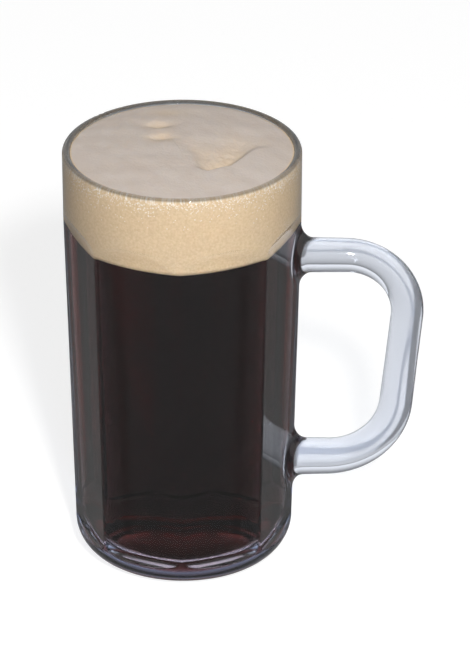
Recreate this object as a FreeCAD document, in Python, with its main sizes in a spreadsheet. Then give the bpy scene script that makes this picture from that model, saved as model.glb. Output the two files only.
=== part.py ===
import FreeCAD, Part
import math
import os
import Sketcher

# Pint of black lager in a pressed-glass handled mug, in millimetres.
# The mug's axis is Z, its foot stands on Z = 0 and its handle points along +X.
# Three pieces: the glass with its handle, the lager and the foam on it.

document = FreeCAD.newDocument("PintOfBlackLager")

drivingSizes = {
    "mugHeight": 163.8,
    "rimRadius": 43.95,
    "collarTaper": 0.15,       # how much slimmer the glass is at the arches than at the rim
    "bodyTaper": 3.6,          # how much slimmer it is at the foot than at the rim
    "rimRound": 1.25,
    "heelRound": 12.6,
    "recessRadius": 23.5,
    "recessDepth": 2.2,
    "recessRound": 1.5,
    "panelCount": 8,
    "collarHeight": 29.5,      # from the rim down to where each panel starts to run out into its arch
    "panelBottom": 12.8,
    "panelLand": 1.3,          # strip of round glass left between two panels
    "archRadius": 11.0,
    "ledgeRadius": 3.0,
    "wallAtRim": 2.9,
    "wallAtPanel": 2.6,
    "wallAtFoot": 5.0,         # from the cavity's floor corner to the sunk panel
    "floorHeight": 8.0,
    "floorRound": 8.5,
    "upperArmDrop": 42.8,      # from the rim down to the middle of the upper arm
    "lowerArmHeight": 36.6,
    "gripReach": 39.4,         # from the rim's outside to the middle of the grip's top
    "gripLean": 5.8,
    "upperBend": 23.0,
    "lowerBend": 26.0,
    "armThickness": 13.4,
    "gripThickness": 12.2,
    "gripNarrowest": 0.45,     # how far up between the arms the grip is thinnest
    "rootThickness": 14.6,
    "upperRootRound": 6.0,
    "lowerRootRound": 6.0,
    "rootDepth": 2.6,          # how far the arms reach into the glass
    "headDepth": 31.8,         # from the rim down to the lager
    "foamDrop": 1.0,           # how far below the rim the foam meets the glass
    "foamCrown": 2.4,
    "hollowDepth": 2.2,        # hollow that the pour left right of the middle
    "hollowAcross": 15.0,
    "hollowAlong": -9.0,
    "hollowLength": 17.0,
    "hollowWidth": 7.5,
    "hollowTurn": 28.0,
    "dentDepth": 1.1,
    "dentWidth": 4.2,
    "farDentAcross": -9.0,
    "farDentAlong": 19.0,
    "nearDentAcross": -8.0,
    "nearDentAlong": 7.5,
}

sheet = document.addObject("Spreadsheet::Sheet", "Sizes")
for row, (alias, number) in enumerate(drivingSizes.items(), start=1):
    sheet.set(f"A{row}", alias)
    sheet.set(f"B{row}", str(number))
    sheet.setAlias(f"B{row}", alias)
document.recompute()


def size(alias):
    """One driving dimension read back from the sheet, for free forms and first guesses."""
    return float(sheet.get(alias))


# Heights worked out from the rim down, kept in the sheet below the driving sizes.
workedOut = {
    "panelTop": "mugHeight - collarHeight",
    "upperArmHeight": "mugHeight - upperArmDrop",
    "fillHeight": "mugHeight - headDepth",
}
for row, (alias, rule) in enumerate(workedOut.items(), start=len(drivingSizes) + 1):
    sheet.set(f"A{row}", alias)
    sheet.set(f"B{row}", "=" + rule)
    sheet.setAlias(f"B{row}", alias)
document.recompute()

# Sizes that several pieces share, as expressions on the sheet.
collarRadius = "(Sizes.rimRadius - Sizes.collarTaper)"
footRadius = "(Sizes.rimRadius - Sizes.bodyTaper)"
sideSlope = "((Sizes.bodyTaper - Sizes.collarTaper) / Sizes.panelTop)"
halfPanel = "(180deg / Sizes.panelCount - asin(Sizes.panelLand / 2 / Sizes.rimRadius))"
panelTopInset = f"({collarRadius} * cos({halfPanel}))"
panelBottomInset = f"(({footRadius} + {sideSlope} * Sizes.panelBottom) * cos({halfPanel}))"
cavityRim = "(Sizes.rimRadius - Sizes.wallAtRim)"
cavityNeck = f"({panelTopInset} - Sizes.wallAtPanel)"
cavityFloor = f"({panelBottomInset} - Sizes.wallAtFoot)"
cavitySlope = f"(({cavityNeck} - {cavityFloor}) / (Sizes.panelTop - Sizes.floorHeight))"
cavityAtFill = f"({cavityFloor} + {cavitySlope} * (Sizes.fillHeight - Sizes.floorHeight))"
upperArmStart = f"({panelTopInset} - Sizes.rootDepth)"
lowerArmEnd = f"({panelBottomInset} - Sizes.rootDepth)"
gripTop = "(Sizes.rimRadius + Sizes.gripReach)"
armSpan = "(Sizes.upperArmHeight - Sizes.lowerArmHeight)"
gripHeight = f"(Sizes.lowerArmHeight + Sizes.gripNarrowest * {armSpan})"
gripDrop = f"(Sizes.upperArmHeight - Sizes.upperBend - {gripHeight})"
gripAcross = f"({gripTop} - tan(1deg * Sizes.gripLean) * {gripDrop})"


def newBody(label):
    body = document.addObject("PartDesign::Body", label + "Body")
    body.Label = label
    return body


def originPart(body, role):
    """The body's own origin plane or axis with this role."""
    return next(part for part in body.Origin.OriginFeatures if part.Role == role)


def newSketch(body, role, name):
    sketch = body.newObject("Sketcher::SketchObject", name)
    sketch.AttachmentSupport = [(originPart(body, role), "")]
    sketch.MapMode = "FlatFace"
    return sketch


def bind(sketch, constraint, expression):
    """Adds a dimension to the sketch and ties it to the sheet."""
    index = sketch.addConstraint(constraint)
    sketch.setExpression(f"Constraints[{index}]", expression)


def placePoint(sketch, edge, end, across, up):
    """Ties one point of an edge to its two distances from the sketch's origin."""
    guess = sketch.getPoint(edge, end)
    if across == "0":
        sketch.addConstraint(Sketcher.Constraint("PointOnObject", edge, end, -2))
    else:
        bind(sketch, Sketcher.Constraint("DistanceX", -1, 1, edge, end, guess.x), across)
    if up == "0":
        sketch.addConstraint(Sketcher.Constraint("PointOnObject", edge, end, -1))
    else:
        bind(sketch, Sketcher.Constraint("DistanceY", -1, 1, edge, end, guess.y), up)


def addLine(sketch, start, end):
    return sketch.addGeometry(Part.LineSegment(FreeCAD.Vector(*start, 0), FreeCAD.Vector(*end, 0)))


def addArc(sketch, centre, radius, startAngle, endAngle):
    circle = Part.Circle(FreeCAD.Vector(*centre, 0), FreeCAD.Vector(0, 0, 1), radius)
    return sketch.addGeometry(Part.ArcOfCircle(circle, math.radians(startAngle), math.radians(endAngle)))


def closedOutline(sketch, corners):
    """Loop of straight edges whose corners are pairs of expressions."""
    guessRadius = 50.0
    count = len(corners)
    turn = 2 * math.pi / count
    ring = [(guessRadius * (2 + math.cos(k * turn)), guessRadius * (2 + math.sin(k * turn)))
            for k in range(count)]
    for k in range(count):
        addLine(sketch, ring[k], ring[(k + 1) % count])
    for k in range(count):
        sketch.addConstraint(Sketcher.Constraint("Coincident", k, 2, (k + 1) % count, 1))
    for k, (across, up) in enumerate(corners):
        placePoint(sketch, k, 1, across, up)


def turnedProfile(body, kind, name, corners):
    """Turns a straight-edged outline once round the body's Z axis."""
    sketch = newSketch(body, "XZ_Plane", name + "Profile")
    closedOutline(sketch, corners)
    feature = body.newObject(f"PartDesign::{kind}", name)
    feature.Profile = sketch
    feature.ReferenceAxis = (sketch, ["V_Axis"])
    feature.Angle = 360
    document.recompute()
    return feature


def circleEdges(feature, height, smallest, largest):
    """Full circles of a feature at this height whose radius lies between two limits."""
    tolerance = 0.01
    names = []
    for index, edge in enumerate(feature.Shape.Edges, start=1):
        curve = edge.Curve
        if isinstance(curve, Part.Circle) and abs(curve.Center.z - height) < tolerance:
            if smallest < curve.Radius < largest:
                names.append(f"Edge{index}")
    return names


def roundEdges(body, feature, edgeNames, expression, name):
    fillet = body.newObject("PartDesign::Fillet", name)
    fillet.Base = (feature, edgeNames)
    fillet.setExpression("Radius", expression)
    document.recompute()
    return fillet


# The glass: a turned blank, its panels, the handle and the cavity.

def glassBlank(body):
    """Foot with a shallow recess, round heel, tapered side and upright collar."""
    blank = turnedProfile(body, "Revolution", "blank", [
        ("0", "Sizes.recessDepth"),
        ("Sizes.recessRadius", "Sizes.recessDepth"),
        ("Sizes.recessRadius + Sizes.recessDepth", "0"),
        (footRadius, "0"),
        (collarRadius, "Sizes.panelTop"),
        ("Sizes.rimRadius", "Sizes.mugHeight"),
        ("0", "Sizes.mugHeight"),
    ])
    ringInside = size("recessRadius") + size("recessDepth")
    heelEdges = circleEdges(blank, 0, ringInside + 1, size("rimRadius"))
    heel = roundEdges(body, blank, heelEdges, "Sizes.heelRound", "heel")
    recessEdges = circleEdges(heel, 0, ringInside - 1, ringInside + 1)
    return roundEdges(body, heel, recessEdges, "Sizes.recessRound", "recessEdge")


def panelProfile(body):
    """Side view of one panel's cut: tapered flat, ledge at the foot, hollow run-out at the top."""
    sketch = newSketch(body, "XZ_Plane", "panelProfile")
    sketch.AttachmentOffset = FreeCAD.Placement(
        FreeCAD.Vector(), FreeCAD.Rotation(FreeCAD.Vector(0, 1, 0), 180 / size("panelCount")))
    sketch.setExpression("AttachmentOffset.Rotation.Angle", "180 / Sizes.panelCount")
    top, bottom = size("panelTop"), size("panelBottom")
    arch, ledge = size("archRadius"), size("ledgeRadius")
    inset = size("rimRadius") * math.cos(math.pi / size("panelCount"))
    outside = size("rimRadius") + 2 * arch
    flat = addLine(sketch, (inset, top), (inset, bottom))
    ledgeArc = addArc(sketch, (inset + ledge, bottom), ledge, 180, 270)
    ledgeOut = addLine(sketch, (inset + ledge, bottom - ledge), (outside, bottom - ledge))
    farSide = addLine(sketch, (outside, bottom - ledge), (outside, top + arch))
    topOut = addLine(sketch, (outside, top + arch), (inset + arch, top + arch))
    archArc = addArc(sketch, (inset + arch, top), arch, 90, 180)
    corners = [(flat, 2, ledgeArc, 1), (ledgeArc, 2, ledgeOut, 1), (ledgeOut, 2, farSide, 1),
               (farSide, 2, topOut, 1), (topOut, 2, archArc, 1), (archArc, 2, flat, 1)]
    for corner in corners:
        sketch.addConstraint(Sketcher.Constraint("Coincident", *corner))
    placePoint(sketch, flat, 1, panelTopInset, "Sizes.panelTop")
    placePoint(sketch, flat, 2, panelBottomInset, "Sizes.panelBottom")
    placePoint(sketch, ledgeArc, 3, f"{panelBottomInset} + Sizes.ledgeRadius", "Sizes.panelBottom")
    placePoint(sketch, archArc, 3, f"{panelTopInset} + Sizes.archRadius", "Sizes.panelTop")
    sketch.addConstraint(Sketcher.Constraint("Vertical", ledgeArc, 3, ledgeArc, 2))
    sketch.addConstraint(Sketcher.Constraint("Vertical", archArc, 3, archArc, 1))
    sketch.addConstraint(Sketcher.Constraint("Horizontal", ledgeOut))
    sketch.addConstraint(Sketcher.Constraint("Horizontal", topOut))
    sketch.addConstraint(Sketcher.Constraint("Vertical", farSide))
    bind(sketch, Sketcher.Constraint("DistanceX", -1, 1, farSide, 1, outside),
         "Sizes.rimRadius + 2 * Sizes.archRadius")
    return sketch


def panels(body):
    """One panel cut and its copies round the mug."""
    cut = body.newObject("PartDesign::Pocket", "panelCut")
    cut.Profile = panelProfile(body)
    cut.Midplane = True
    cut.setExpression("Length", "2 * Sizes.rimRadius")
    document.recompute()
    ring = body.newObject("PartDesign::PolarPattern", "panelRing")
    ring.Originals = [cut]
    ring.Axis = (originPart(body, "Z_Axis"), [""])
    ring.Angle = 360
    ring.setExpression("Occurrences", "Sizes.panelCount")
    body.Tip = ring
    document.recompute()
    return ring


def handleSpine(body):
    """Middle line of the handle: level arm, bend, leaning grip, wider bend, level arm."""
    sketch = newSketch(body, "XZ_Plane", "handleSpine")
    inside = size("rimRadius") - size("wallAtRim") - size("rootDepth")
    grip = size("rimRadius") + size("gripReach")
    upper, lower = size("upperArmHeight"), size("lowerArmHeight")
    upperBend, lowerBend, lean = size("upperBend"), size("lowerBend"), size("gripLean")
    foot = grip - math.tan(math.radians(lean)) * (upper - lower - upperBend - lowerBend)
    topArm = addLine(sketch, (inside, upper), (grip - upperBend, upper))
    topArc = addArc(sketch, (grip - upperBend, upper - upperBend), upperBend, -lean, 90)
    gripLine = addLine(sketch, (foot, lower + lowerBend), (grip, upper - upperBend))
    lowArc = addArc(sketch, (foot - lowerBend, lower + lowerBend), lowerBend, -90, -lean)
    lowArm = addLine(sketch, (foot - lowerBend, lower), (inside, lower))
    joints = [(topArm, 2, topArc, 2), (topArc, 1, gripLine, 2),
              (gripLine, 1, lowArc, 2), (lowArc, 1, lowArm, 1)]
    for joint in joints:
        sketch.addConstraint(Sketcher.Constraint("Tangent", *joint))
    sketch.addConstraint(Sketcher.Constraint("Horizontal", topArm))
    sketch.addConstraint(Sketcher.Constraint("Horizontal", lowArm))
    bind(sketch, Sketcher.Constraint("Radius", topArc, upperBend), "Sizes.upperBend")
    bind(sketch, Sketcher.Constraint("Radius", lowArc, lowerBend), "Sizes.lowerBend")
    placePoint(sketch, topArm, 1, upperArmStart, "Sizes.upperArmHeight")
    placePoint(sketch, lowArm, 2, lowerArmEnd, "Sizes.lowerArmHeight")
    bind(sketch, Sketcher.Constraint("DistanceX", -1, 1, gripLine, 2, grip), gripTop)
    bind(sketch, Sketcher.Constraint("Angle", gripLine, math.radians(90 - lean)),
         "1deg * (90 - Sizes.gripLean)")
    return sketch


def roundSection(body, role, name, thickness, across, up):
    """Circle across the handle, on an origin plane that is moved along its two axes."""
    sketch = newSketch(body, role, name)
    guess = size("armThickness")
    sketch.addGeometry(Part.Circle(FreeCAD.Vector(), FreeCAD.Vector(0, 0, 1), guess / 2))
    sketch.addConstraint(Sketcher.Constraint("Coincident", 0, 3, -1, 1))
    bind(sketch, Sketcher.Constraint("Diameter", 0, guess), thickness)
    if role == "YZ_Plane":
        sketch.setExpression("AttachmentOffset.Base.y", up)
        sketch.setExpression("AttachmentOffset.Base.z", across)
    else:
        sketch.AttachmentOffset = FreeCAD.Placement(
            FreeCAD.Vector(), FreeCAD.Rotation(FreeCAD.Vector(0, 1, 0), size("gripLean")))
        sketch.setExpression("AttachmentOffset.Rotation.Angle", "Sizes.gripLean")
        sketch.setExpression("AttachmentOffset.Base.x", across)
        sketch.setExpression("AttachmentOffset.Base.z", up)
    return sketch


def handle(body):
    """Handle swept along its middle line through three round sections."""
    spine = handleSpine(body)
    start = roundSection(body, "YZ_Plane", "upperSection", "Sizes.armThickness",
                         upperArmStart, "Sizes.upperArmHeight")
    grip = roundSection(body, "XY_Plane", "gripSection", "Sizes.gripThickness", gripAcross, gripHeight)
    end = roundSection(body, "YZ_Plane", "lowerSection", "Sizes.rootThickness",
                       lowerArmEnd, "Sizes.lowerArmHeight")
    document.recompute()
    pipe = body.newObject("PartDesign::AdditivePipe", "handle")
    pipe.Profile = start
    pipe.Spine = (spine, [f"Edge{k + 1}" for k in range(spine.GeometryCount)])
    pipe.Sections = [(grip, ""), (end, "")]
    pipe.Transformation = "Multisection"
    body.Tip = pipe
    document.recompute()
    return pipe


def rootEdges(feature, armHeight, thickness):
    """Edges where an arm meets the side of the glass."""
    slack = 0.6
    reach = thickness / 2 + slack
    inside = size("rimRadius") - size("bodyTaper") - reach
    outside = size("rimRadius") + slack
    names = []
    for index, edge in enumerate(feature.Shape.Edges, start=1):
        box = edge.BoundBox
        level = box.ZMin > armHeight - reach and box.ZMax < armHeight + reach
        narrow = box.YMin > -reach and box.YMax < reach
        near = box.XMin > inside and box.XMax < outside
        if level and narrow and near:
            names.append(f"Edge{index}")
    return names


def handleRoots(body, pipe):
    """Rounds both arms into the side of the glass."""
    upperEdges = rootEdges(pipe, size("upperArmHeight"), size("armThickness"))
    upperRoot = roundEdges(body, pipe, upperEdges, "Sizes.upperRootRound", "upperRoot")
    lowerEdges = rootEdges(upperRoot, size("lowerArmHeight"), size("rootThickness"))
    return roundEdges(body, upperRoot, lowerEdges, "Sizes.lowerRootRound", "lowerRoot")


def cavity(body):
    """Hollows the mug, rounds the cavity's floor corner and both edges of the rim."""
    above = "(Sizes.mugHeight + Sizes.rimRound)"
    hollow = turnedProfile(body, "Groove", "cavity", [
        ("0", "Sizes.floorHeight"),
        (cavityFloor, "Sizes.floorHeight"),
        (cavityNeck, "Sizes.panelTop"),
        (cavityRim, "Sizes.mugHeight"),
        (cavityRim, above),
        ("0", above),
    ])
    floorEdges = circleEdges(hollow, size("floorHeight"), 0, size("rimRadius"))
    floorCorner = roundEdges(body, hollow, floorEdges, "Sizes.floorRound", "floorCorner")
    rimEdges = circleEdges(floorCorner, size("mugHeight"), 0, 2 * size("rimRadius"))
    return roundEdges(body, floorCorner, rimEdges, "Sizes.rimRound", "rim")


def buildMug():
    body = newBody("mug")
    glassBlank(body)
    panels(body)
    handleRoots(body, handle(body))
    cavity(body)
    return body


# What fills the glass takes its shape from the cavity's own sizes.

def buildLager():
    body = newBody("lager")
    drink = turnedProfile(body, "Revolution", "drink", [
        ("0", "Sizes.floorHeight"),
        (cavityFloor, "Sizes.floorHeight"),
        (cavityAtFill, "Sizes.fillHeight"),
        ("0", "Sizes.fillHeight"),
    ])
    floorEdges = circleEdges(drink, size("floorHeight"), 0, size("rimRadius"))
    roundEdges(body, drink, floorEdges, "Sizes.floorRound", "drinkCorner")
    return body


def foamHeight(across, along):
    """Height of the foam's top: a low crown less the hollow of the pour and two dents."""
    radius = size("rimRadius") - size("wallAtRim")
    crown = size("foamCrown") * (1 - (across ** 2 + along ** 2) / radius ** 2)
    turn = math.radians(size("hollowTurn"))
    east, north = across - size("hollowAcross"), along - size("hollowAlong")
    lengthwise = (east * math.cos(turn) + north * math.sin(turn)) / size("hollowLength")
    crosswise = (north * math.cos(turn) - east * math.sin(turn)) / size("hollowWidth")
    hollow = size("hollowDepth") * math.exp(-lengthwise ** 2 - crosswise ** 2)
    dents = 0.0
    for dent in ("farDent", "nearDent"):
        away = math.hypot(across - size(dent + "Across"), along - size(dent + "Along")) / size("dentWidth")
        dents += size("dentDepth") * math.exp(-away ** 2)
    return size("mugHeight") - size("foamDrop") + crown - hollow - dents


def foamCrust():
    """Block under the foam's free-form top, wider than the cavity and reaching below the rim."""
    gridCount = 17
    reach = size("rimRadius")
    steps = [reach * (2 * k / (gridCount - 1) - 1) for k in range(gridCount)]
    grid = [[FreeCAD.Vector(x, y, foamHeight(x, y)) for y in steps] for x in steps]
    surface = Part.BSplineSurface()
    surface.interpolate(grid)
    depth = size("mugHeight") - size("fillHeight") + size("rimRound")
    crust = document.addObject("Part::Feature", "foamCrust")
    crust.Shape = surface.toShape().extrude(FreeCAD.Vector(0, 0, -2 * depth))
    return crust


def buildFoam():
    """Foam as the plug that fills the cavity above the lager, cut to its free-form top."""
    plug = newBody("foamPlug")
    above = "(Sizes.mugHeight + 2 * Sizes.foamCrown)"
    turnedProfile(plug, "Revolution", "plug", [
        ("0", "Sizes.fillHeight"),
        (cavityAtFill, "Sizes.fillHeight"),
        (cavityNeck, "Sizes.panelTop"),
        (cavityRim, "Sizes.mugHeight"),
        (cavityRim, above),
        ("0", above),
    ])
    foam = document.addObject("Part::Common", "foamLayer")
    foam.Label = "foam"
    foam.Base = plug
    foam.Tool = foamCrust()
    document.recompute()
    return foam


def checkDocument():
    """Stops the build where any object failed or came out empty."""
    for thing in document.Objects:
        if "Invalid" in thing.State or "Error" in thing.State:
            raise RuntimeError(f"{thing.Name}: {thing.getStatusString()}")
    for piece in pieces:
        if piece.Shape.isNull() or not piece.Shape.isValid() or len(piece.Shape.Solids) != 1:
            raise RuntimeError(f"{piece.Label} isn't one sound solid")


pieces = [buildMug(), buildLager(), buildFoam()]
checkDocument()
os.makedirs("parts", exist_ok=True)
for piece in pieces:
    piece.Shape.exportStep(f"parts/{piece.Label}.step")
    print(piece.Label, "volume", round(piece.Shape.Volume / 1000, 1), "cm3")
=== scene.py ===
import math
import bpy
import numpy as np
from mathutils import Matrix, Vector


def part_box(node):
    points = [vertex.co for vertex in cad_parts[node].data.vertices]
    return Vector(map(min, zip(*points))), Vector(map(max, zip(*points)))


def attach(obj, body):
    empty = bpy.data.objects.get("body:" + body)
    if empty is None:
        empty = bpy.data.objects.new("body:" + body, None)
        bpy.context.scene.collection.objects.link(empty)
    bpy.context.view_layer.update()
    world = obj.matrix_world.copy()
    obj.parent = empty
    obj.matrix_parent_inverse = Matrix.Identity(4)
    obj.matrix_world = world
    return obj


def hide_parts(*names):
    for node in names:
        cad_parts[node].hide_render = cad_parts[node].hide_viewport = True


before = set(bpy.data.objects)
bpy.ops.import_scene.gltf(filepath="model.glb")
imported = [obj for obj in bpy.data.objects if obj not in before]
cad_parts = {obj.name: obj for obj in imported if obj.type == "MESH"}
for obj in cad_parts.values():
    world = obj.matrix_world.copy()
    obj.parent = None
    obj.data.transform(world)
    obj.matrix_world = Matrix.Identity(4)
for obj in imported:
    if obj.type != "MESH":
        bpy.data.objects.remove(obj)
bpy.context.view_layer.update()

# Pint of black lager in a pressed glass mug. Metres; the mug's axis is Z, its handle points along +X.

mm = 0.001
lagerLow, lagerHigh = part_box("lager")
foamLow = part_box("foam")[0]
fillLevel = lagerHigh.z
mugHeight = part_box("mug")[1].z
random = np.random.default_rng(7)


def linearColour(hexCode):
    # sRGB hex to the linear numbers that a shader wants
    parts = np.array([int(hexCode[i:i + 2], 16) for i in (0, 2, 4)]) / 255
    linear = np.where(parts <= 0.04045, parts / 12.92, ((parts + 0.055) / 1.055) ** 2.4)
    return (*linear.tolist(), 1.0)


def addNode(tree, kind, settings=(), links=()):
    # settings and links are pairs: an input's name or number, or a property of the node, and its value
    node = tree.nodes.new(kind)
    for name, value in settings:
        if not isinstance(name, int) and hasattr(node, name):
            setattr(node, name, value)
        else:
            node.inputs[name].default_value = value
    for name, source in links:
        tree.links.new(source, node.inputs[name])
    return node


def newMaterial(name):
    material = bpy.data.materials.new(name)
    material.use_nodes = True
    material.node_tree.nodes.clear()
    return material, material.node_tree


def ringsToMesh(name, rings, startPole, endPole):
    # rings is (rows, columns, 3): neighbouring rings are joined by quads and each end by a fan to its pole
    rows, columns, _ = rings.shape
    points = np.concatenate([rings.reshape(-1, 3), [startPole], [endPole]])
    index = np.arange(rows * columns).reshape(rows, columns)
    after = np.roll(index, -1, axis=1)
    quads = np.stack([index[:-1], after[:-1], after[1:], index[1:]], axis=-1).reshape(-1, 4)
    first = np.full(columns, rows * columns)
    startFan = np.stack([first, after[0], index[0]], axis=-1)
    endFan = np.stack([first + 1, index[-1], after[-1]], axis=-1)
    mesh = bpy.data.meshes.new(name)
    mesh.from_pydata(points.tolist(), [], quads.tolist() + startFan.tolist() + endFan.tolist())
    mesh.shade_smooth()
    piece = bpy.data.objects.new(name, mesh)
    bpy.context.scene.collection.objects.link(piece)
    return piece


def arcPoints(centreRadius, centreHeight, radius, startAngle, endAngle, count):
    # circular arc in the radius-height plane, angles in degrees from the outward direction
    turn = np.radians(np.linspace(startAngle, endAngle, count))
    return centreRadius + radius * np.cos(turn), centreHeight + radius * np.sin(turn)


cavitySizes = {
    "floorRadius": 32.808 * mm,    # where the wall's line meets the floor's, before the corner's rounding
    "floorRound": 8.5 * mm,
    "neckRadius": 38.109 * mm,
    "neckHeight": 134.3 * mm,
    "rimRadius": 41.05 * mm,
}


def cavityRadius(height):
    # straight wall from the floor to the neck, then flaring to the rim
    heights = [lagerLow.z, cavitySizes["neckHeight"], mugHeight]
    radii = [cavitySizes["floorRadius"], cavitySizes["neckRadius"], cavitySizes["rimRadius"]]
    return np.interp(height, heights, radii)


lagerSizes = {
    "intoWall": 0.12 * mm,
    "intoFoam": 0.15 * mm,
    "columns": 192,
    "rings": {"floor": 8, "corner": 16, "wall": 20, "top": 8},
    "index": 1.34,                 # bends light at the glass it wets, where the glass holds it
    "colour": "c05a2a",            # what a thin layer lets through
    "density": 122.0,
}


glassSizes = {
    "innerMargin": 0.6 * mm,       # how far outside the cavity's line a point still counts as its wall
    "cast": "aac3ed",
    "castDensity": 18.0,
    "index": 1.52,
    "tone": "fafcff",
    "edgeSoftness": 0.9 * mm,      # how far the mould's edges are rounded over
    "waves": 55.0,                 # 18 mm waves left by the mould
    "waveDepth": 0.4 * mm,
    "lipShadeDepth": 1.1 * mm,
    "lipShadeFull": 0.4 * mm,           # how far under the rim's top the painted shade is full
    "footShadeTop": (7 * mm, 13 * mm),  # the painted shade of the base fades out between these heights
    "floorSkin": 0.4 * mm,         # how thick a layer counts as the cavity's floor
    "shadowFace": "d6dae0",        # what a lamp's light keeps face on, and edge on
    "shadowEdge": "080a0e",
    "footPaintedShade": "c2aca8",          # painted shade: the thick base is darkened to a reddish brown, as if it showed the beer and the shadow under the mug
    "lipPaintedShade": "6c6a68",           # painted shade: a dark band at the top of the rim, where the polished edge bends the view into the dark of the wall below
}


def wettedWall(tree, place):
    # 1 where beer touches the glass: inside the cavity's sloping line, from its floor to the fill level
    parts = addNode(tree, "ShaderNodeSeparateXYZ", [], [(0, place.outputs["Object"])])
    flat = addNode(tree, "ShaderNodeCombineXYZ", [], [("X", parts.outputs["X"]), ("Y", parts.outputs["Y"])])
    radius = addNode(tree, "ShaderNodeVectorMath", [("operation", "LENGTH")], [(0, flat.outputs[0])])
    margin = glassSizes["innerMargin"]
    wall = addNode(tree, "ShaderNodeMapRange",
                   [("clamp", False), ("From Min", lagerLow.z), ("From Max", cavitySizes["neckHeight"]),
                    ("To Min", cavitySizes["floorRadius"] + margin),
                    ("To Max", cavitySizes["neckRadius"] + margin)], [("Value", parts.outputs["Z"])])
    inside = addNode(tree, "ShaderNodeMath", [("operation", "LESS_THAN")],
                     [(0, radius.outputs["Value"]), (1, wall.outputs[0])])
    below = addNode(tree, "ShaderNodeMath", [("operation", "LESS_THAN"), (1, fillLevel)],
                    [(0, parts.outputs["Z"])])
    above = addNode(tree, "ShaderNodeMath", [("operation", "GREATER_THAN"), (1, lagerLow.z - margin)],
                    [(0, parts.outputs["Z"])])
    between = addNode(tree, "ShaderNodeMath", [("operation", "MULTIPLY")],
                      [(0, below.outputs[0]), (1, above.outputs[0])])
    return addNode(tree, "ShaderNodeMath", [("operation", "MULTIPLY")],
                   [(0, inside.outputs[0]), (1, between.outputs[0])])


def pressedGlass():
    # soda-lime glass pressed in a mould: clear with a cold cast in thick parts, a faint waviness on the skin
    material, tree = newMaterial("pressedSodaLimeGlass")
    place = addNode(tree, "ShaderNodeTexCoord")
    waves = addNode(tree, "ShaderNodeTexNoise", [("Scale", glassSizes["waves"]), ("Detail", 1.0)],
                    [("Vector", place.outputs["Object"])])
    edges = addNode(tree, "ShaderNodeBevel", [("samples", 4), ("Radius", glassSizes["edgeSoftness"])])
    skin = addNode(tree, "ShaderNodeBump", [("Strength", 0.05), ("Distance", glassSizes["waveDepth"])],
                   [("Height", waves.outputs["Fac"]), ("Normal", edges.outputs[0])])
    parts = addNode(tree, "ShaderNodeSeparateXYZ", [], [(0, place.outputs["Object"])])
    # painted shade: a dark band over the top of the rim, full from just under its top
    lipShadeMask = addNode(tree, "ShaderNodeMapRange",
                  [("From Min", mugHeight - glassSizes["lipShadeDepth"]),
                   ("From Max", mugHeight - glassSizes["lipShadeFull"])],
                  [("Value", parts.outputs["Z"])])
    tone = addNode(tree, "ShaderNodeMix", [("data_type", "RGBA"), (6, linearColour(glassSizes["tone"])),
                                          (7, linearColour(glassSizes["lipPaintedShade"]))],
                   [(0, lipShadeMask.outputs[0])])
    # painted shade: the bottom of the glass is tinted reddish brown, fading out upwards
    footShadeMask = addNode(tree, "ShaderNodeMapRange",
                   [("From Min", glassSizes["footShadeTop"][0]), ("From Max", glassSizes["footShadeTop"][1]),
                    ("To Min", 1.0), ("To Max", 0.0)], [("Value", parts.outputs["Z"])])
    tone = addNode(tree, "ShaderNodeMix", [("data_type", "RGBA"), (7, linearColour(glassSizes["footPaintedShade"]))],
                   [(0, footShadeMask.outputs[0]), (6, tone.outputs[2])])
    # against beer the wall bends light by the step from one to the other, and so hardly mirrors
    wetted = wettedWall(tree, place)
    bend = addNode(tree, "ShaderNodeMapRange",
                   [("To Min", glassSizes["index"]), ("To Max", glassSizes["index"] / lagerSizes["index"])],
                   [("Value", wetted.outputs[0])])
    # the cavity's uneven floor bends nothing, so that light caught under it gets up into the beer
    low = addNode(tree, "ShaderNodeMath",
                  [("operation", "LESS_THAN"), (1, lagerLow.z + glassSizes["floorSkin"])],
                  [(0, parts.outputs["Z"])])
    onFloor = addNode(tree, "ShaderNodeMath", [("operation", "MULTIPLY")],
                      [(0, low.outputs[0]), (1, wetted.outputs[0])])
    bend = addNode(tree, "ShaderNodeMix", [("B", 1.0)],
                   [("Factor", onFloor.outputs[0]), ("A", bend.outputs[0])])
    glass = addNode(tree, "ShaderNodeBsdfPrincipled",
                    [("Roughness", 0.0), ("Transmission Weight", 1.0)],
                    [("Base Color", tone.outputs[2]), ("Normal", skin.outputs["Normal"]),
                     ("IOR", bend.outputs[0])])
    # face on the wall lets a lamp through, and edge on it throws a shadow, as a rod's sides do
    facing = addNode(tree, "ShaderNodeLayerWeight", [("Blend", 0.2)])
    through = addNode(tree, "ShaderNodeMix",
                      [("data_type", "RGBA"), (6, linearColour(glassSizes["shadowFace"])),
                       (7, linearColour(glassSizes["shadowEdge"]))],
                      [(0, facing.outputs["Facing"])])
    clear = addNode(tree, "ShaderNodeBsdfTransparent", [], [("Color", through.outputs[2])])
    rays = addNode(tree, "ShaderNodeLightPath")
    mixed = addNode(tree, "ShaderNodeMixShader", [],
                    [(0, rays.outputs["Is Shadow Ray"]), (1, glass.outputs[0]), (2, clear.outputs[0])])
    depth = addNode(tree, "ShaderNodeVolumeAbsorption",
                    [("Color", linearColour(glassSizes["cast"])), ("Density", glassSizes["castDensity"])])
    addNode(tree, "ShaderNodeOutputMaterial", [],
            [("Surface", mixed.outputs[0]), ("Volume", depth.outputs[0])])
    return material


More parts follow.
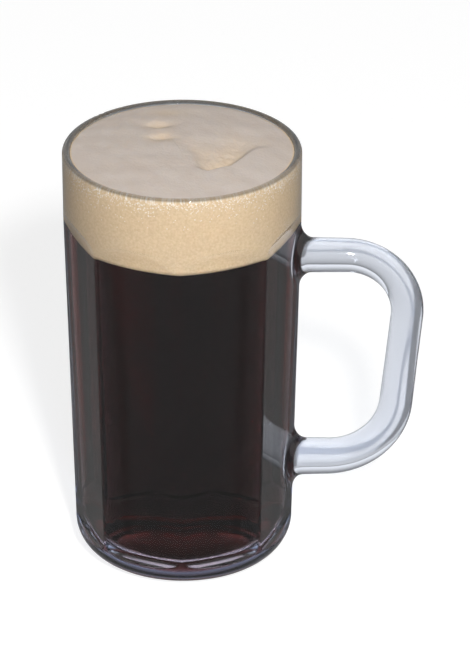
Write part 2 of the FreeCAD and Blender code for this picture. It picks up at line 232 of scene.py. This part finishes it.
def blackLager():
    # roasted-malt lager: clear but so deep in colour that only its thin edges glow red-brown
    material, tree = newMaterial("roastedMaltLager")
    drink = addNode(tree, "ShaderNodeBsdfPrincipled",
                    [("Base Color", linearColour("ffffff")), ("Roughness", 0.0), ("IOR", 1.0),
                     ("Transmission Weight", 1.0)])
    depth = addNode(tree, "ShaderNodeVolumeAbsorption",
                    [("Color", linearColour(lagerSizes["colour"])), ("Density", lagerSizes["density"])])
    addNode(tree, "ShaderNodeOutputMaterial", [],
            [("Surface", drink.outputs[0]), ("Volume", depth.outputs[0])])
    return material


foamFinish = {
    "dryTones": ("bfb0a4", "cdc3bb"),
    # tan of foam wet against the glass, also used as painted shade in the hollow and dents of the top
    "wetAndShadeTones": ("cdb18a", "d9bf99"),
    "bubbles": 1100.0,             # 0.9 mm bubbles and mottling, the coarsest that show
    "patches": 90.0,               # 11 mm patches
    "pitDepth": 0.15 * mm,
    "scatter": 0.8 * mm,
    "filmTones": ("ddcdb2", "fffaf0"),
    "filmPatches": 500.0,          # 2 mm patches of paler bubbles
}


def beerFoam():
    # fine wet foam: matt, lets light in a little, tan where it lies wet against the glass, and the same tan
    # as painted shade in the hollow and dents of its top
    material, tree = newMaterial("fineBeerFoam")
    place = addNode(tree, "ShaderNodeTexCoord")
    dryDark, dryPale = (linearColour(tone) for tone in foamFinish["dryTones"])
    wetShadeDark, wetShadePale = (linearColour(tone) for tone in foamFinish["wetAndShadeTones"])
    cells = addNode(tree, "ShaderNodeTexVoronoi", [("Scale", foamFinish["bubbles"])],
                    [("Vector", place.outputs["Object"])])
    clouds = addNode(tree, "ShaderNodeTexNoise",
                     [("Scale", foamFinish["patches"]), ("Detail", 5.0), ("Roughness", 0.6)],
                     [("Vector", place.outputs["Object"])])
    grain = addNode(tree, "ShaderNodeTexNoise", [("Scale", foamFinish["bubbles"]), ("Detail", 1.0)],
                    [("Vector", place.outputs["Object"])])
    patches = addNode(tree, "ShaderNodeMix", [("data_type", "RGBA"), (6, dryDark), (7, dryPale)],
                      [(0, clouds.outputs["Fac"])])
    mottled = addNode(tree, "ShaderNodeMapRange", [("From Min", 0.3), ("From Max", 0.7)],
                      [("Value", grain.outputs["Fac"])])
    wetAndShade = addNode(tree, "ShaderNodeMix", [("data_type", "RGBA"), (6, wetShadeDark), (7, wetShadePale)],
                  [(0, mottled.outputs[0])])
    # how much wet tan a point gets: real wetness at the glass, painted shade in the hollow and dents
    wetnessAndShade = addNode(tree, "ShaderNodeAttribute", [("attribute_name", "wetnessAndShade")])
    tinted = addNode(tree, "ShaderNodeMix", [("data_type", "RGBA")],
                     [(0, wetnessAndShade.outputs["Fac"]), (6, patches.outputs[2]), (7, wetAndShade.outputs[2])])
    pits = addNode(tree, "ShaderNodeBump", [("Strength", 0.5), ("Distance", foamFinish["pitDepth"])],
                   [("Height", cells.outputs["Distance"])])
    foam = addNode(tree, "ShaderNodeBsdfPrincipled",
                   [("Roughness", 0.75), ("IOR", 1.34), ("Subsurface Weight", 0.25),
                    ("Subsurface Radius", (1.0, 0.75, 0.5)), ("Subsurface Scale", foamFinish["scatter"])],
                   [("Base Color", tinted.outputs[2]), ("Normal", pits.outputs["Normal"])])
    addNode(tree, "ShaderNodeOutputMaterial", [], [("Surface", foam.outputs[0])])
    return material


def bubbleFilm():
    # single bubbles against the glass: pale wet film that glints
    material, tree = newMaterial("wetBubbleFilm")
    place = addNode(tree, "ShaderNodeTexCoord")
    filmDark, filmPale = (linearColour(tone) for tone in foamFinish["filmTones"])
    tones = addNode(tree, "ShaderNodeTexNoise", [("Scale", foamFinish["filmPatches"])],
                    [("Vector", place.outputs["Object"])])
    cream = addNode(tree, "ShaderNodeMix", [("data_type", "RGBA"), (6, filmDark), (7, filmPale)],
                    [(0, tones.outputs["Fac"])])
    film = addNode(tree, "ShaderNodeBsdfPrincipled", [("Roughness", 0.22), ("IOR", 1.6)],
                   [("Base Color", cream.outputs[2])])
    addNode(tree, "ShaderNodeOutputMaterial", [], [("Surface", film.outputs[0])])
    return material


glassMaterial = pressedGlass()
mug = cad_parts["mug"]
mug.data.materials.clear()
mug.data.materials.append(glassMaterial)
print("glass dressed")


def lagerBody():
    # flat floor, rounded corner, sloping wall and flat top turned about Z
    reach, rings = lagerSizes["intoWall"], lagerSizes["rings"]
    floor = lagerLow.z - reach
    top = fillLevel + lagerSizes["intoFoam"]
    lean = math.degrees(math.atan2(cavitySizes["neckRadius"] - cavitySizes["floorRadius"],
                                   cavitySizes["neckHeight"] - lagerLow.z))
    corner = cavitySizes["floorRound"]
    # the corner's centre is one rounding above the floor and one rounding inside the wall's line
    centreHeight = lagerLow.z + corner
    centreRadius = cavityRadius(centreHeight) - corner / math.cos(math.radians(lean))
    arcRadii, arcHeights = arcPoints(centreRadius, centreHeight, corner + reach, -90, -lean,
                                      rings["corner"])
    floorRadii = np.linspace(0.1, 0.96, rings["floor"]) * centreRadius
    wallHeights = np.linspace(arcHeights[-1], top, rings["wall"])[1:]
    topRadii = cavityRadius(fillLevel) * np.linspace(0.98, 0.1, rings["top"])
    radii = np.concatenate([floorRadii, arcRadii, cavityRadius(wallHeights) + reach, topRadii])
    heights = np.concatenate([np.full(rings["floor"], floor), arcHeights, wallHeights,
                              np.full(rings["top"], top)])
    turn = np.linspace(0, 2 * np.pi, lagerSizes["columns"], endpoint=False)
    points = np.stack([radii[:, None] * np.cos(turn), radii[:, None] * np.sin(turn),
                       np.broadcast_to(heights[:, None], (len(heights), len(turn)))], axis=-1)
    return ringsToMesh("lagerBody", points, (0, 0, floor), (0, 0, top))


lager = lagerBody()
lager.data.materials.append(blackLager())
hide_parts("lager")
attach(lager, "root")
print("lager poured")


foamSizes = {
    "intoWall": 0.2 * mm,
    "drop": 1.0 * mm,              # how far below the rim the foam meets the glass
    "crown": 2.4 * mm,
    # the pour's hollow: steep behind this line of points, then a long slope back up
    "brink": ((0.5, -7.7), (3.6, -17.9), (9.5, -20.3), (18.5, -15.1), (27.4, -0.5), (36.5, 3.9)),
    "brinkWidths": (6.0 * mm, 1.7 * mm),   # gentle at its left end, steep in the middle
    "hollowDepth": 3.2 * mm,
    "hollowReach": 11 * mm,
    "hollowMiddle": 14 * mm,
    "hollowHalf": 11 * mm,
    "lumps": 420,
    "lumpHeight": 0.3 * mm,
    "lumpWidths": (0.6 * mm, 1.5 * mm),
    "lumpField": ((-16 * mm, -21 * mm), (30 * mm, 26 * mm)),   # the two corners that the lumps lie between
    "longWaves": (9 * mm, 7, 0.09 * mm),   # length, how many, height
    "shortWaves": (2.7 * mm, 14, 0.02 * mm),
    "dents": ((-9 * mm, 19 * mm), (-8 * mm, 7.5 * mm)),
    "dentDepth": 1.3 * mm,
    "dentWidth": (4.4 * mm, 2.6 * mm),
    "warmPatch": (-6 * mm, 31 * mm),
    "shadeAndPatchWidths": ((5 * mm, 4 * mm), (8 * mm, 4 * mm)),   # of the painted shade round a dent, and of the warm patch
    "wetRim": 0.8 * mm,
    "wallRings": 24,
    "floorRings": 5,
    "columns": 440,
    "topRings": 150,
}


def behindBrink(x, y):
    # distance to the nearest run between the brink's points, taken as below 0 in front of it
    spots = np.array(foamSizes["brink"]) * mm
    nearest = np.full(x.shape, 1.0)
    side = np.zeros(x.shape)
    for start, end in zip(spots[:-1], spots[1:]):
        run = end - start
        east, north = x - start[0], y - start[1]
        along = np.clip((east * run[0] + north * run[1]) / (run @ run), 0, 1)
        away = np.hypot(east - along * run[0], north - along * run[1])
        leftOfRun = np.sign(run[0] * north - run[1] * east)
        side = np.where(away < nearest, leftOfRun, side)
        nearest = np.minimum(nearest, away)
    return nearest * side


def hollowShare(x, y):
    # 0 in front of the brink, quickly 1 behind it, then fading over the long slope and to both ends
    behind = behindBrink(x, y)
    steepness = np.interp(x, (2 * mm, 11 * mm), foamSizes["brinkWidths"])
    drop = 1 - np.exp(-(np.clip(behind, 0, None) / steepness) ** 2)
    slope = np.exp(-(behind / foamSizes["hollowReach"]) ** 2)
    middle = np.exp(-((x - foamSizes["hollowMiddle"]) / foamSizes["hollowHalf"]) ** 2)
    return drop * slope * middle


def softWaves(x, y, wavelength, count):
    # sum of a few sine waves in random directions
    total = np.zeros(x.shape)
    for _ in range(count):
        angle, phase = random.uniform(0, 2 * np.pi, 2)
        pitch = wavelength * random.uniform(0.7, 1.4)
        total += np.sin(2 * np.pi * (x * np.cos(angle) + y * np.sin(angle)) / pitch + phase)
    return total / math.sqrt(count)


def foamTop(x, y):
    # low crown less the pour's hollow and two dents
    crown = foamSizes["crown"] * (1 - (x ** 2 + y ** 2) / cavitySizes["rimRadius"] ** 2)
    height = mugHeight - foamSizes["drop"] + crown - foamSizes["hollowDepth"] * hollowShare(x, y)
    for dentX, dentY in foamSizes["dents"]:
        across, along = foamSizes["dentWidth"]
        away = ((x - dentX) / across) ** 2 + ((y - dentY) / along) ** 2
        height = height - foamSizes["dentDepth"] * np.exp(-away)
    return height


def lumps(x, y):
    # a scatter of small rounded bumps and pits, each a Gaussian
    total = np.zeros(x.shape)
    count = foamSizes["lumps"]
    spots = random.uniform(*foamSizes["lumpField"], (count, 2))
    widths = random.uniform(*foamSizes["lumpWidths"], count)
    heights = random.uniform(-1, 1, count)
    for (spotX, spotY), width, height in zip(spots, widths, heights):
        total += height * np.exp(-((x - spotX) ** 2 + (y - spotY) ** 2) / width ** 2)
    return total * foamSizes["lumpHeight"]


def hollowShadeAndPatch(x, y):
    # painted shade: the hollow's slope and the dents get the wet tan as crease shading, and a patch at the
    # back gets the same tan
    (dentWide, dentDeep), (patchWide, patchDeep) = foamSizes["shadeAndPatchWidths"]
    share = 0.6 * hollowShare(x, y)
    for dentX, dentY in foamSizes["dents"]:
        share = share + 0.45 * np.exp(-((x - dentX) / dentWide) ** 2 - ((y - dentY) / dentDeep) ** 2)
    patchX, patchY = foamSizes["warmPatch"]
    return share + 0.3 * np.exp(-((x - patchX) / patchWide) ** 2 - ((y - patchY) / patchDeep) ** 2)


def foamLayer():
    # wall rings follow the cavity, top rings shrink to the middle at the height that foamTop gives
    turn = np.linspace(0, 2 * np.pi, foamSizes["columns"], endpoint=False)
    floorCount, topCount = foamSizes["floorRings"], foamSizes["topRings"]
    share = np.linspace(0, 1, foamSizes["wallRings"])[:, None]
    edgeRadius = cavitySizes["rimRadius"] + foamSizes["intoWall"]
    edgeTop = foamTop(edgeRadius * np.cos(turn), edgeRadius * np.sin(turn))
    wallHeights = foamLow.z + share * (edgeTop - 0.5 * mm - foamLow.z)
    wallRadii = cavityRadius(wallHeights) + foamSizes["intoWall"]
    topShare = (1 - np.linspace(0, 1, topCount + 1)[:-1])[:, None]
    topRadii = np.broadcast_to(topShare * (cavitySizes["rimRadius"] - 0.1 * mm), (topCount, len(turn)))
    topX, topY = topRadii * np.cos(turn), topRadii * np.sin(turn)
    topHeights = foamTop(topX, topY)
    # long low waves everywhere, and a lumpy skin that is strongest in the hollow, the dents and the back
    # patch
    ripple = 0
    for wavelength, count, waveHeight in (foamSizes["longWaves"], foamSizes["shortWaves"]):
        ripple = ripple + softWaves(topX, topY, wavelength, count) * waveHeight
    topHeights = topHeights + ripple + lumps(topX, topY) * np.clip(2 * hollowShadeAndPatch(topX, topY), 0.05, 1)
    floorRadii = np.linspace(0.2, 0.98, floorCount)[:, None] * cavityRadius(foamLow.z)
    floorRadii = np.broadcast_to(floorRadii, (floorCount, len(turn)))
    radii = np.concatenate([floorRadii, wallRadii, topRadii])
    heights = np.concatenate([np.full((floorCount, len(turn)), foamLow.z), wallHeights, topHeights])
    rings = np.stack([radii * np.cos(turn), radii * np.sin(turn), heights], axis=-1)
    middle = float(foamTop(np.zeros(1), np.zeros(1))[0])
    piece = ringsToMesh("foamLayer", rings, (0, 0, foamLow.z), (0, 0, middle))
    # the wet tan is full on the wall and the floor, fades over the first rings of the top, and rises again
    # with the painted shade of the hollow and dents and in the back patch
    places = np.concatenate([rings.reshape(-1, 3), [(0, 0, foamLow.z)], [(0, 0, middle)]])
    onTop = np.zeros(len(places), bool)
    onTop[(floorCount + len(wallHeights)) * len(turn):] = True
    onTop[-2] = False
    reach = np.hypot(places[:, 0], places[:, 1])
    wetRim = foamSizes["wetRim"]
    nearWall = np.clip((reach - cavitySizes["rimRadius"] + wetRim) / wetRim, 0, 1)
    wetnessAndShade = np.where(onTop, nearWall + hollowShadeAndPatch(places[:, 0], places[:, 1]), 1.0)
    wetnessAndShade = np.clip(wetnessAndShade, 0, 1)
    layer = piece.data.attributes.new("wetnessAndShade", "FLOAT", "POINT")
    layer.data.foreach_set("value", wetnessAndShade.astype(np.float32))
    return piece


foam = foamLayer()
foam.data.materials.append(beerFoam())
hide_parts("foam")
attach(foam, "root")
print("foam laid")


frothSizes = {
    "count": 3000,
    "radii": (0.13 * mm, 0.34 * mm),
    "below": 1.3 * mm,             # where the row of bubbles starts under the rim
    "fade": 2.4 * mm,              # the further down, the fewer
    "deepest": 22 * mm,
    "sunk": 0.55,                  # share of its radius that a bubble lies back from the foam's skin
    "turns": 7,
    "rows": 3,
}


def frothRow():
    # half-sunk balls strewn round the foam's wall under the rim, crowding upwards, all in one mesh
    count = frothSizes["count"]
    angle = random.uniform(0, 2 * np.pi, count)
    depth = np.minimum(random.exponential(frothSizes["fade"], count), frothSizes["deepest"])
    height = mugHeight - frothSizes["below"] - depth
    radius = random.uniform(*frothSizes["radii"], count)
    reach = cavityRadius(height) + foamSizes["intoWall"] - frothSizes["sunk"] * radius
    centres = np.stack([reach * np.cos(angle), reach * np.sin(angle), height], axis=-1)
    turn = np.linspace(0, 2 * np.pi, frothSizes["turns"], endpoint=False)
    rise = np.radians(np.linspace(-90, 90, frothSizes["rows"] + 2))[1:-1]
    ball = np.stack([np.outer(np.cos(rise), np.cos(turn)), np.outer(np.cos(rise), np.sin(turn)),
                     np.repeat(np.sin(rise)[:, None], len(turn), axis=1)], axis=-1).reshape(-1, 3)
    ball = np.concatenate([ball, [(0, 0, -1)], [(0, 0, 1)]])
    index = np.arange(len(rise) * len(turn)).reshape(len(rise), len(turn))
    after = np.roll(index, -1, axis=1)
    quads = np.stack([index[:-1], after[:-1], after[1:], index[1:]], axis=-1).reshape(-1, 4)
    low, high = np.full(len(turn), len(ball) - 2), np.full(len(turn), len(ball) - 1)
    fans = np.concatenate([np.stack([low, after[0], index[0]], axis=-1),
                           np.stack([high, index[-1], after[-1]], axis=-1)])
    points = (centres[:, None] + ball[None] * radius[:, None, None]).reshape(-1, 3)
    step = (np.arange(count) * len(ball))[:, None, None]
    mesh = bpy.data.meshes.new("frothRow")
    mesh.from_pydata(points.tolist(), [], (quads[None] + step).reshape(-1, 4).tolist()
                     + (fans[None] + step).reshape(-1, 3).tolist())
    mesh.shade_smooth()
    piece = bpy.data.objects.new("frothRow", mesh)
    bpy.context.scene.collection.objects.link(piece)
    return piece


froth = frothRow()
froth.data.materials.append(bubbleFilm())
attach(froth, "root")
print("froth strewn")


stageSizes = {
    "floorHalf": 4.0,
    "floorHeight": -0.1 * mm,      # a hair under the foot, so that the two faces aren't one
    "floorColour": "a0a0a0",
    "floorLift": 0.78,             # what lifts the lit floor to white for the eye
    "seenThroughGlass": 2.9,       # how much paler glass sees the floor, shadows and all
    "roomLevel": 0.16,             # the room as a light on matt things
    "mirroredRoom": 1.0,           # the room in gloss, white
    "ceilingSeen": 0.3,            # what glass sees of the room high up, white at the horizon
    "ceilingFrom": (0.05, 0.45),   # how steeply up the look turns from horizon to ceiling
    # each softbox: where it stands, what it lights, its width and height, its power
    "keySoftbox": ((0.25, -1.54, 1.17), (0.03, 0, 0.08), 0.14, 0.14, 40),
    "topSoftbox": ((-0.2, 0.4, 1.6), (0, 0, 0.1), 1.2, 0.8, 2),
    "cameraPlace": (0.04342, -1.77673, 0.99917),
    "cameraTilt": (62.858, 0, 0.776),      # degrees
    "lens": 290.28,
    "sensor": 36,
}


def lookedThrough(tree, rays):
    # 1 for what is seen through glass, but not for light that matt things gather through it
    direct = addNode(tree, "ShaderNodeMath", [("operation", "LESS_THAN"), (1, 0.5)],
                     [(0, rays.outputs["Diffuse Depth"])])
    return addNode(tree, "ShaderNodeMath", [("operation", "MULTIPLY")],
                   [(0, rays.outputs["Is Transmission Ray"]), (1, direct.outputs[0])])


def paleFloor():
    # plain matt floor that keeps the object's shadow: white to the eye, pale through glass, as lit in gloss
    half, low = stageSizes["floorHalf"], stageSizes["floorHeight"]
    corners = [(-half, -half, low), (half, -half, low), (half, half, low), (-half, half, low)]
    mesh = bpy.data.meshes.new("floor")
    mesh.from_pydata(corners, [], [(0, 1, 2, 3)])
    floor = bpy.data.objects.new("floor", mesh)
    bpy.context.scene.collection.objects.link(floor)
    material, tree = newMaterial("paleStudioFloor")
    rays = addNode(tree, "ShaderNodeLightPath")
    seen = addNode(tree, "ShaderNodeMix", [("A", 1.0), ("B", stageSizes["seenThroughGlass"])],
                   [("Factor", lookedThrough(tree, rays).outputs[0])])
    tone = addNode(tree, "ShaderNodeVectorMath",
                   [("operation", "SCALE"), (0, linearColour(stageSizes["floorColour"])[:3])],
                   [("Scale", seen.outputs[0])])
    matt = addNode(tree, "ShaderNodeBsdfDiffuse", [], [("Color", tone.outputs[0])])
    lift = addNode(tree, "ShaderNodeMath", [("operation", "MULTIPLY"), (1, stageSizes["floorLift"])],
                   [(0, rays.outputs["Is Camera Ray"])])
    glow = addNode(tree, "ShaderNodeEmission", [], [("Strength", lift.outputs[0])])
    both = addNode(tree, "ShaderNodeAddShader", [], [(0, matt.outputs[0]), (1, glow.outputs[0])])
    addNode(tree, "ShaderNodeOutputMaterial", [], [("Surface", both.outputs[0])])
    mesh.materials.append(material)


def softRoom():
    # white to the eye and in gloss, white at the horizon through glass and greyer higher up, dim as a light
    world = bpy.data.worlds.new("softRoom")
    world.use_nodes = True
    tree = world.node_tree
    tree.nodes.clear()
    rays = addNode(tree, "ShaderNodeLightPath")
    heading = addNode(tree, "ShaderNodeTexCoord")
    parts = addNode(tree, "ShaderNodeSeparateXYZ", [], [(0, heading.outputs["Generated"])])
    through = addNode(tree, "ShaderNodeMapRange",
                      [("From Min", stageSizes["ceilingFrom"][0]), ("From Max", stageSizes["ceilingFrom"][1]),
                       ("To Min", 1.0), ("To Max", stageSizes["ceilingSeen"])],
                      [("Value", parts.outputs["Z"])])
    level = addNode(tree, "ShaderNodeMix",
                    [("A", stageSizes["roomLevel"]), ("B", stageSizes["mirroredRoom"])],
                    [("Factor", rays.outputs["Is Glossy Ray"])])
    level = addNode(tree, "ShaderNodeMix", [("B", 1.0)],
                    [("Factor", rays.outputs["Is Camera Ray"]), ("A", level.outputs[0])])
    level = addNode(tree, "ShaderNodeMix", [],
                    [("Factor", lookedThrough(tree, rays).outputs[0]), ("A", level.outputs[0]),
                     ("B", through.outputs[0])])
    sky = addNode(tree, "ShaderNodeBackground", [("Color", (1, 1, 1, 1))], [("Strength", level.outputs[0])])
    addNode(tree, "ShaderNodeOutputWorld", [], [("Surface", sky.outputs[0])])
    bpy.context.scene.world = world


def softbox(name, place, aim, width, height, power):
    lamp = bpy.data.lights.new(name, "AREA")
    lamp.shape = "RECTANGLE"
    lamp.size, lamp.size_y, lamp.energy = width, height, power
    holder = bpy.data.objects.new(name, lamp)
    bpy.context.scene.collection.objects.link(holder)
    holder.location = place
    direction = np.array(aim) - np.array(place)
    yaw = math.atan2(direction[1], direction[0])
    pitch = math.atan2(direction[2], math.hypot(direction[0], direction[1]))
    holder.rotation_euler = (math.pi / 2 + pitch, 0, yaw - math.pi / 2)


paleFloor()
softRoom()
for name in ("keySoftbox", "topSoftbox"):
    softbox(name, *stageSizes[name])

cameraData = bpy.data.cameras.new("camera")
cameraData.lens, cameraData.sensor_width = stageSizes["lens"], stageSizes["sensor"]
camera = bpy.data.objects.new("camera", cameraData)
camera.location = stageSizes["cameraPlace"]
camera.rotation_euler = [math.radians(angle) for angle in stageSizes["cameraTilt"]]
bpy.context.scene.collection.objects.link(camera)
bpy.context.scene.camera = camera
bpy.context.scene.view_settings.view_transform = "Standard"
print("stage and camera set")
